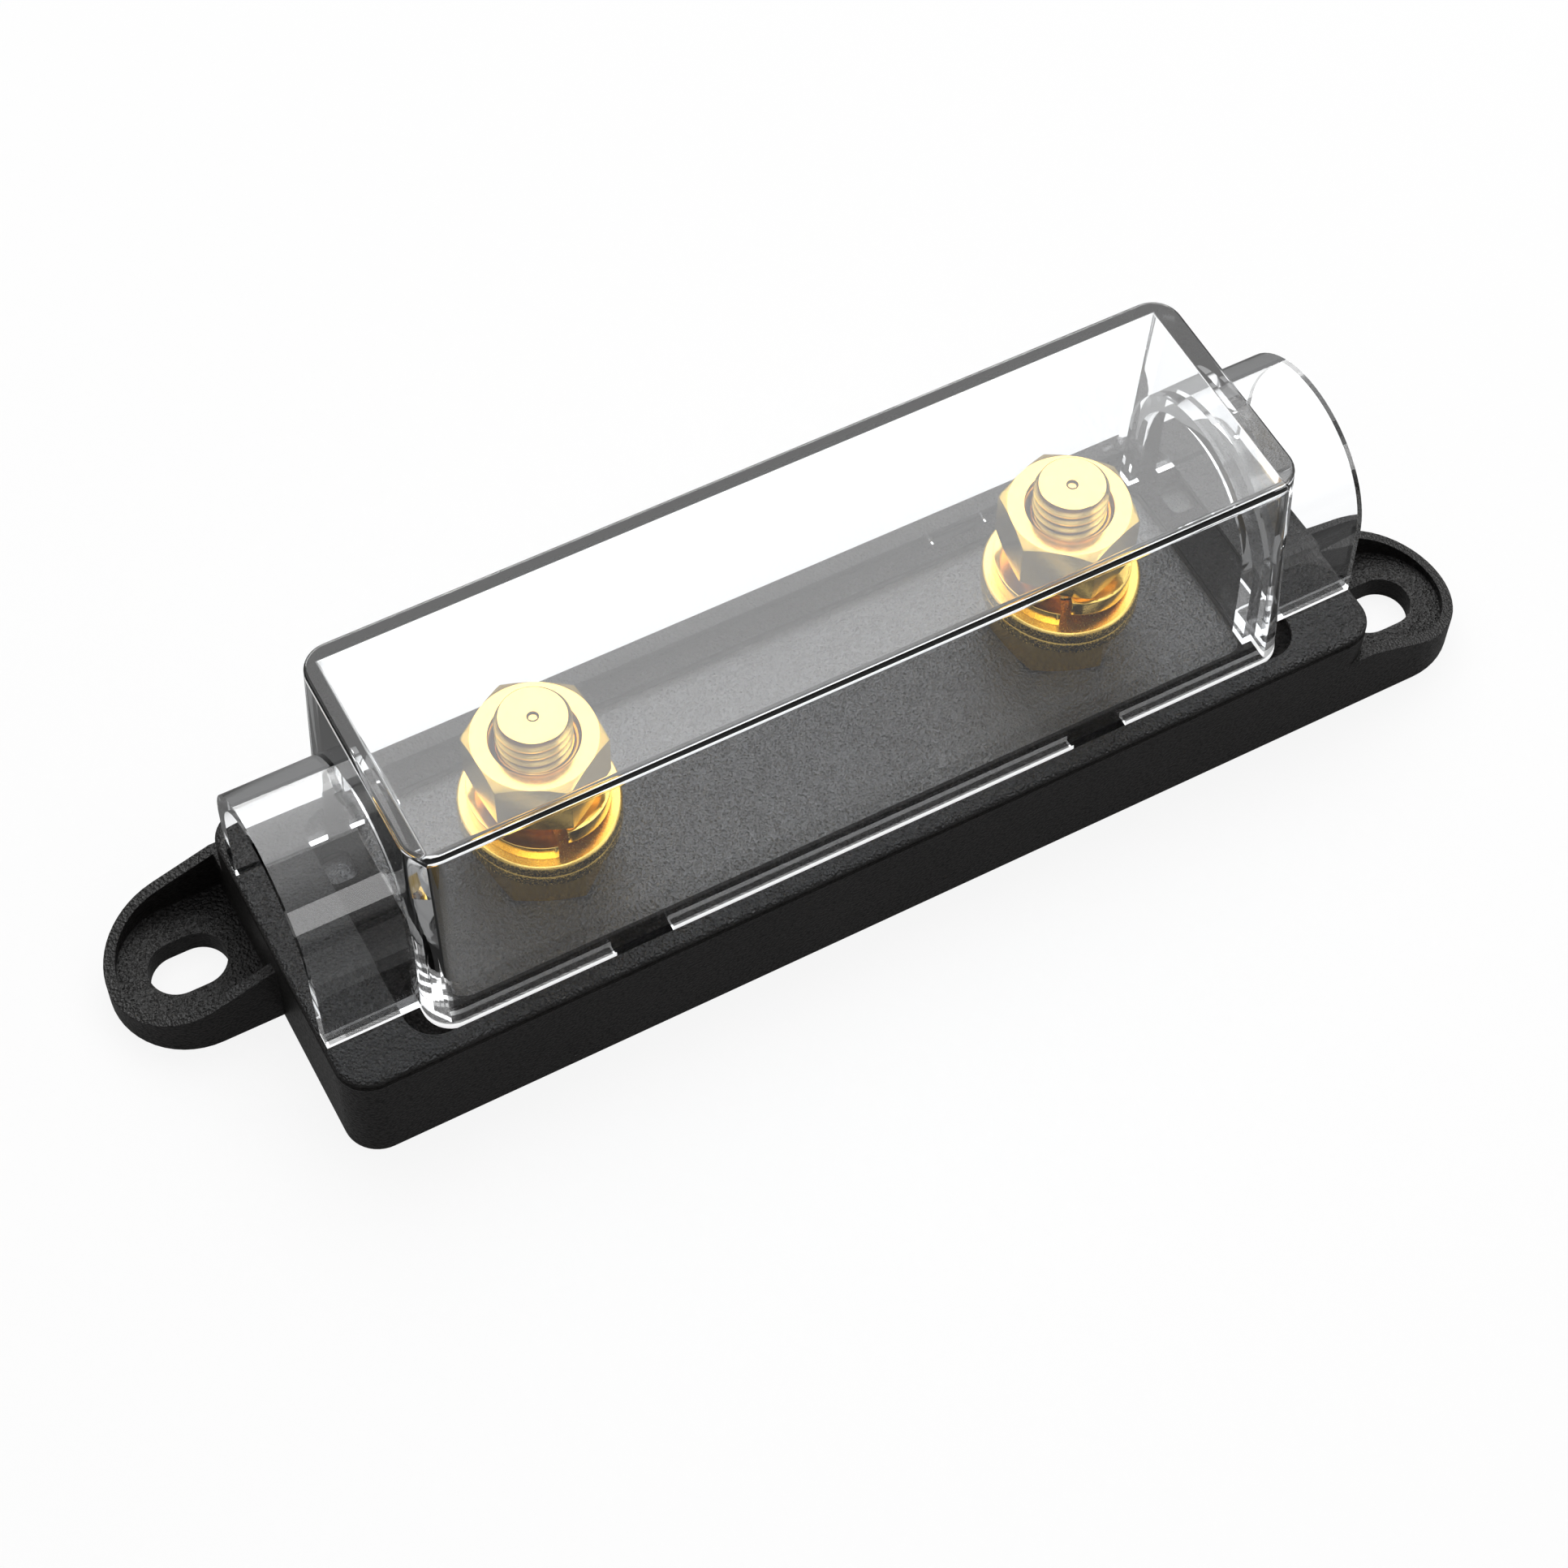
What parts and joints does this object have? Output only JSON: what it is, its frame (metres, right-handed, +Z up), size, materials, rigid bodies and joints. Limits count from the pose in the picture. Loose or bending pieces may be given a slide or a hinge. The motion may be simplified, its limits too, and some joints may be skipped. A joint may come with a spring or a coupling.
{
  "type": "anl fuse holder",
  "caption": "Black moulded base with fixing lugs, a clear clip-on cover with arched cable hoods, and plated threaded studs that clamp a strip fuse and its cables.",
  "frame": {"origin": "middle of the underside, on the panel that the base is screwed to", "axes": "+X from the left stud to the right stud, +Y across to the back, +Z up along the studs"},
  "size_m": [0.154, 0.0368, 0.0422],
  "materials": {
    "base_plastic": "fine matte texture",
    "cover_plastic": "clear, polished",
    "plated_metal": "gold plated, bright",
    "spring_metal": "gold plated, bright",
    "stud_metal": "gold plated, bright"
  },
  "bodies": {
    "base_body": {"base": "base_plastic", "stud_left": "stud_metal", "stud_right": "stud_metal", "lower_nut_left": "plated_metal", "lower_nut_right": "plated_metal"},
    "cover_body": {"cover": "cover_plastic"},
    "washers_left": {"flat_washer_lower_left": "plated_metal", "flat_washer_upper_left": "plated_metal", "spring_washer_left": "spring_metal"},
    "washers_right": {"flat_washer_lower_right": "plated_metal", "flat_washer_upper_right": "plated_metal", "spring_washer_right": "spring_metal"},
    "nut_left": {"top_nut_left": "plated_metal"},
    "nut_right": {"top_nut_right": "plated_metal"}
  },
  "joints": [
    {"name": "cover_lift", "type": "slide", "parent": "base_body", "child": "cover_body", "axis": [0, 0, 1], "range_m": [0, 0.03]},
    {"name": "washers_left_rise", "type": "slide", "parent": "base_body", "child": "washers_left", "axis": [0, 0, 1], "range_m": [0, 0.00625]},
    {"name": "nut_left_turn", "type": "hinge", "parent": "washers_left", "child": "nut_left", "pos_m": [-0.031, 0, 0.0257], "axis": [0, 0, 1], "range_deg": [0, 1800]},
    {"name": "washers_right_rise", "type": "slide", "parent": "base_body", "child": "washers_right", "axis": [0, 0, 1], "range_m": [0, 0.00625]},
    {"name": "nut_right_turn", "type": "hinge", "parent": "washers_right", "child": "nut_right", "pos_m": [0.031, 0, 0.0257], "axis": [0, 0, 1], "range_deg": [0, 1800]}
  ],
  "couplings": [
    {"joint": "washers_left_rise", "follows": "nut_left_turn", "m_per_rad": 0.00019894},
    {"joint": "washers_right_rise", "follows": "nut_right_turn", "m_per_rad": 0.00019894}
  ]
}
